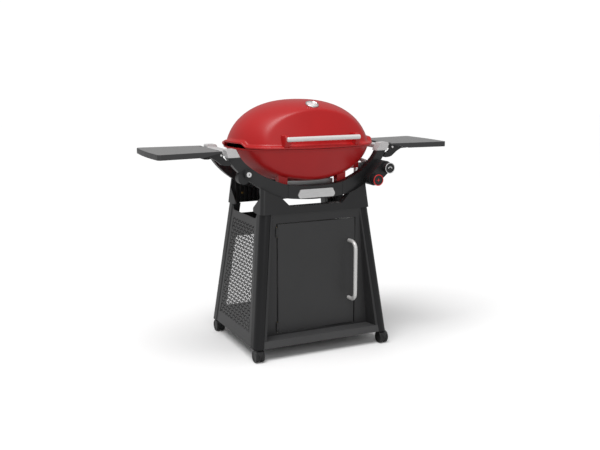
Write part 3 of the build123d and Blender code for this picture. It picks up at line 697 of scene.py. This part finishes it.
# %% Dial thermometer
DIAL_TILT = math.radians(24)
dial_points = [v.co for v in nodes["thermometer"].data.vertices]
dial_up = Vector((0, -math.sin(DIAL_TILT), math.cos(DIAL_TILT)))
dial_top = max(p.dot(dial_up) for p in dial_points)
face_points = [p for p in dial_points if p.dot(dial_up) > dial_top - 0.001]
dial = Vector([(min(p[i] for p in face_points) + max(p[i] for p in face_points)) / 2 for i in range(3)])
cup = [(0, -0.060), (0.004, -0.060), (0.004, -0.009), (0.0275, -0.009), (0.0275, -0.0015), (0.0268, 0.0002),
       (0.0255, 0.0006), (0.0240, 0.0), (0.0232, -0.0016), (0, -0.0016)]
cup_mesh = turned("thermometer_cup", cup, dial, dial_up, 64)
bezel = add_piece("thermometer_cup", cup_mesh, "lid", chrome)
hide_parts("thermometer")
white_dial = sprayed("white_dial", (0.80, 0.80, 0.79), 0.30, 300.0, 0.01, coat=0.5, spread=0.02)
plate = [(0, -0.0018), (0.0229, -0.0018), (0.0229, -0.0012), (0, -0.0010)]
dial_mesh = turned("thermometer_dial", plate, dial, dial_up, 64)
add_piece("thermometer_dial", dial_mesh, "lid", white_dial)
marks_points, marks_faces = [], []
turn = Matrix.Translation(dial) @ dial_up.to_track_quat("Z", "Y").to_matrix().to_4x4()


def mark(angle, start, end, width):
    """One printed stroke on the dial, from one radius to another."""
    along = Vector((math.cos(angle), math.sin(angle), 0))
    side = Vector((-along.y, along.x, 0)) * width / 2
    first = len(marks_points)
    for z in (-0.0010, -0.0007):
        for corner in (along * start - side, along * start + side, along * end + side, along * end - side):
            marks_points.append(turn @ (corner + Vector((0, 0, z))))
    for face in ((0, 1, 2, 3), (4, 5, 6, 7), (0, 1, 5, 4), (1, 2, 6, 5), (2, 3, 7, 6), (3, 0, 4, 7)):
        marks_faces.append(tuple(first + i for i in face))


for step in range(13):
    mark(math.radians(-60 + 25 * step), 0.0165 if step % 3 == 0 else 0.0185, 0.0215, 0.0011)
mark(math.radians(200), 0.0, 0.0150, 0.0014)
mark(math.radians(20), 0.0, 0.0050, 0.0018)
add_piece("thermometer_marks", from_points("thermometer_marks", marks_points, marks_faces), "lid",
          spark_red, smooth=False)
print("dial at", tuple(round(c, 3) for c in dial))

# %% [markdown]
# ## Knob faces
# Each knob ends in a shallow cap inside its ring, with a simple mark: a four-pointed spark on
# the main burner's knob, and a level arc on the small one. The igniter button has a slanted
# tick. The marks are thin raised inlays.

# %% Knob caps and their marks
def inlay(name, outline, centre, front, body, finish):
    """A flat outline in (x, z) round a centre, standing 0.6 mm proud of a front face."""
    n = len(outline)
    points = [(centre.x + x, y, centre.z + z) for y in (front - 0.0006, front + 0.0010) for x, z in outline]
    faces = [tuple(range(n)), tuple(range(2 * n - 1, n - 1, -1))]
    faces += [(i, (i + 1) % n, n + (i + 1) % n, n + i) for i in range(n)]
    return add_piece(name, from_points(name, points, faces), body, finish, smooth=False)


spark = []
for i in range(16):
    angle = math.radians(22.5 * i)
    reach = (0.0082, 0.0036, 0.0030, 0.0036)[i % 4]
    spark.append((reach * math.sin(angle), reach * math.cos(angle)))
angles = [math.radians(a) for a in range(-20, 201, 20)]
arc = [(0.0095 * math.cos(t), 0.0065 * math.sin(t)) for t in angles]
arc += [(0.0065 * math.cos(t), 0.0038 * math.sin(t)) for t in reversed(angles)]
for name, outline, finish, slot in (("knob_main", spark, spark_red, "red_trim"),
                                    ("knob_small", arc, silver_paint, "chrome_trim")):
    ring = "knob_ring_" + name[5:]
    low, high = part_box(ring)
    centre = centre_of(ring)
    radius = (high.x - low.x) / 2 - 0.0035
    cap = [(0, -0.004), (radius, -0.004), (radius, 0.0), (radius - 0.0012, 0.0009),
           (radius * 0.7, 0.0013), (0, 0.0016)]
    front = Vector((centre.x, low.y + 0.0022, centre.z))
    cap_mesh = turned(name + "_cap", cap, front, (0, -1, 0))
    add_piece(name + "_cap", cap_mesh, name, black_resin)
    inlay(name + "_mark", outline, centre, low.y + 0.0006, name, finish)
    print(name, "cap radius", round(radius, 4))

# %% The mark on the igniter button
button, button_front = centre_of("igniter_button"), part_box("igniter_button")[0].y
tick = [(0.0012, -0.0034), (0.0022, 0.0036), (-0.0002, 0.0036), (-0.0012, -0.0034)]
inlay("igniter_mark", tick, button, button_front + 0.0002, "igniter_button", black_resin)
print("igniter mark set")

# %% [markdown]
# ## Floor, light and camera
# The grill stands on a plain pale floor. One large soft lamp above and to the left gives the
# lid its gentle bright side, a wide fill keeps the front readable, and a pale world lights the
# rest. The camera stands a little above the tables, three and a half metres away.

# %% Floor
floor_mesh = from_points("floor", [(-14, -14, 0), (14, -14, 0), (14, 14, 0), (-14, 14, 0)], [(0, 1, 2, 3)])
floor_paint = Paint("pale_floor")
seen = floor_paint.node("ShaderNodeLightPath", output="Is Camera Ray")
floor_paint.set(base_color=floor_paint.mix(seen, (0.52, 0.52, 0.52), (0.97, 0.97, 0.97)))
floor_paint.set(roughness=0.75)
floor_mesh.materials.append(floor_paint.material)
floor = bpy.data.objects.new("floor", floor_mesh)
bpy.context.scene.collection.objects.link(floor)
print("floor laid")

# %% Lights
world = bpy.data.worlds.new("studio")
bpy.context.scene.world = world
world.use_nodes = True
sky = world.node_tree
glow = sky.nodes["Background"]
glow.inputs["Color"].default_value = (1.0, 1.0, 1.0, 1.0)
glow.inputs["Strength"].default_value = 0.38
backdrop = sky.nodes.new("ShaderNodeBackground")
backdrop.inputs["Color"].default_value = (1.0, 1.0, 1.0, 1.0)
backdrop.inputs["Strength"].default_value = 1.05
seen = sky.nodes.new("ShaderNodeLightPath")
either = sky.nodes.new("ShaderNodeMixShader")
sky.links.new(seen.outputs["Is Camera Ray"], either.inputs[0])
sky.links.new(glow.outputs[0], either.inputs[1])
sky.links.new(backdrop.outputs[0], either.inputs[2])
sky.links.new(either.outputs[0], sky.nodes["World Output"].inputs["Surface"])


def soft_lamp(name, place, target, kind, power, spread):
    """A soft lamp aimed at a point: SUN lights the whole floor alike, AREA only what is near."""
    lamp = bpy.data.lights.new(name, kind)
    lamp.energy = power
    if kind == "SUN":
        lamp.angle = math.radians(spread)
    else:
        lamp.size = spread
    holder = bpy.data.objects.new(name, lamp)
    holder.location = place
    holder.rotation_euler = (Vector(target) - Vector(place)).to_track_quat("-Z", "Y").to_euler()
    bpy.context.scene.collection.objects.link(holder)


soft_lamp("key_sun", (-0.9, -0.5, 3.0), (0, 0, 0), "SUN", 2.4, 44.0)
soft_lamp("front_fill", (-0.6, -4.0, 2.2), (0, 0, 0.6), "AREA", 20.0, 1.6)
print("lamps placed")

# %% Camera
camera_data = bpy.data.cameras.new("camera")
camera_data.lens = 50.18
camera_data.sensor_width = 36.0
camera = bpy.data.objects.new("camera", camera_data)
camera.location = (-1.5369, -3.2422 + middle_y, 1.1987)
camera.rotation_euler = (math.radians(79.004), 0.0, math.radians(-25.556))
bpy.context.scene.collection.objects.link(camera)
bpy.context.scene.camera = camera
bpy.context.scene.view_settings.view_transform = "Standard"
print("camera at", tuple(camera.location))
